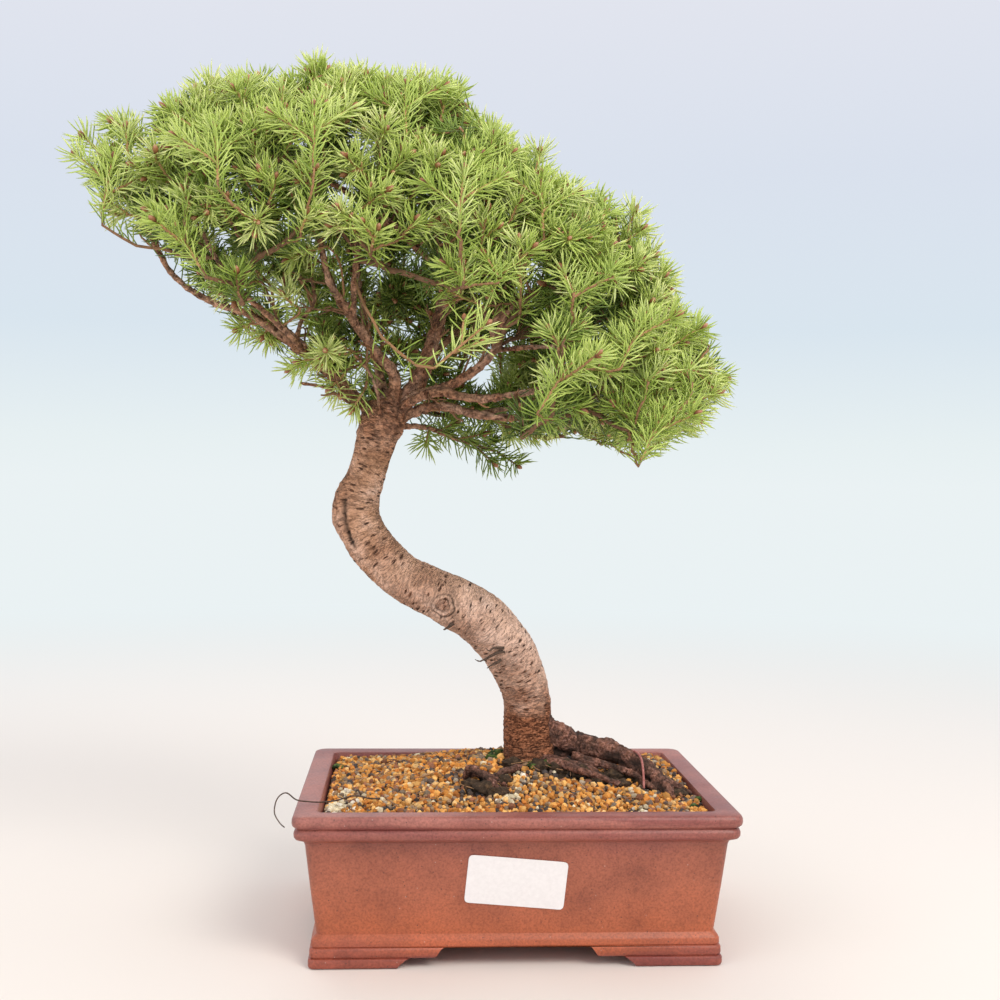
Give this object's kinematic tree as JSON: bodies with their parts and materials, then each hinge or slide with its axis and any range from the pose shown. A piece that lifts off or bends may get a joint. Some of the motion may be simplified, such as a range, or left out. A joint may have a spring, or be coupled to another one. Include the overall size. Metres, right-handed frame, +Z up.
{
  "type": "spruce bonsai in a rectangular pot",
  "caption": "Small spruce tree with an S-curved bare trunk and a domed needle crown, planted in grit in a rectangular footed clay pot.",
  "frame": {"origin": "on the table under the middle of the whole object's bounding box; the pot's foot is at z = 0", "axes": "+Z up; the pot's long side runs along X and its front with the label faces -Y; the trunk leans towards -X"},
  "size_m": [0.3736, 0.2458, 0.4817],
  "materials": {
    "clay": "unglazed, slight sheen",
    "soil": "rough grains",
    "netting": "matte",
    "label": "satin",
    "rootlet": "rough",
    "bark": "rough bark",
    "needles": "waxy"
  },
  "bodies": {
    "root": {"drain_mesh_left": "netting", "drain_mesh_right": "netting", "label": "label", "loose_rootlet": "rootlet", "pot": "clay", "soil": "soil", "spray_01": "needles", "spray_02": "needles", "spray_03": "needles", "spray_04": "needles", "spray_05": "needles", "spray_06": "needles", "spray_07": "needles", "spray_08": "needles", "spray_09": "needles", "spray_10": "needles", "spray_11": "needles", "spray_12": "needles", "spray_13": "needles", "spray_14": "needles", "spray_15": "needles", "spray_16": "needles", "spray_17": "needles", "spray_18": "needles", "spray_19": "needles", "spray_20": "needles", "spray_21": "needles", "spray_22": "needles", "spray_23": "needles", "spray_24": "needles", "spray_25": "needles", "spray_26": "needles", "spray_27": "needles", "spray_28": "needles", "spray_29": "needles", "spray_30": "needles", "spray_31": "needles", "spray_32": "needles", "spray_33": "needles", "spray_34": "needles", "spray_35": "needles", "spray_36": "needles", "spray_37": "needles", "spray_38": "needles", "spray_39": "needles", "spray_40": "needles", "spray_41": "needles", "spray_42": "needles", "spray_43": "needles", "trunk_and_branches": "bark"}
  },
  "joints": []
}
